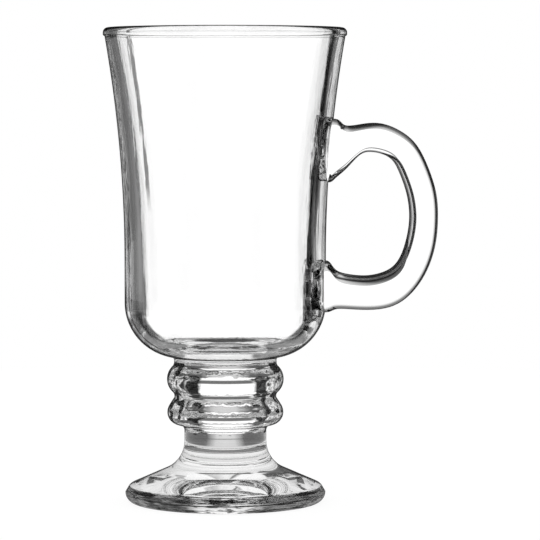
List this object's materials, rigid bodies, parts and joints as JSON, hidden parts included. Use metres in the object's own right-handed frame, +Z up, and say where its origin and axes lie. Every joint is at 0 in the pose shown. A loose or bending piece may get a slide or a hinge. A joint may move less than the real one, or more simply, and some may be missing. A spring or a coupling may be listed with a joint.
{
  "type": "irish coffee glass mug",
  "caption": "Footed clear glass mug for hot coffee, with a flared bowl, a knopped stem, a sloping round foot and an ear-shaped side handle.",
  "frame": {"origin": "centre of the foot's resting ring, on the bowl's axis at table height", "axes": "+Z up along the bowl's axis, +X out to the handle, +Y away from the picture's camera"},
  "size_m": [0.1036, 0.0754, 0.1473],
  "materials": {
    "clear_glass": "fire-polished, clear"
  },
  "bodies": {
    "root": {"bowl": "clear_glass", "upper_knop": "clear_glass", "lower_knop": "clear_glass", "foot": "clear_glass", "handle": "clear_glass"}
  },
  "joints": []
}
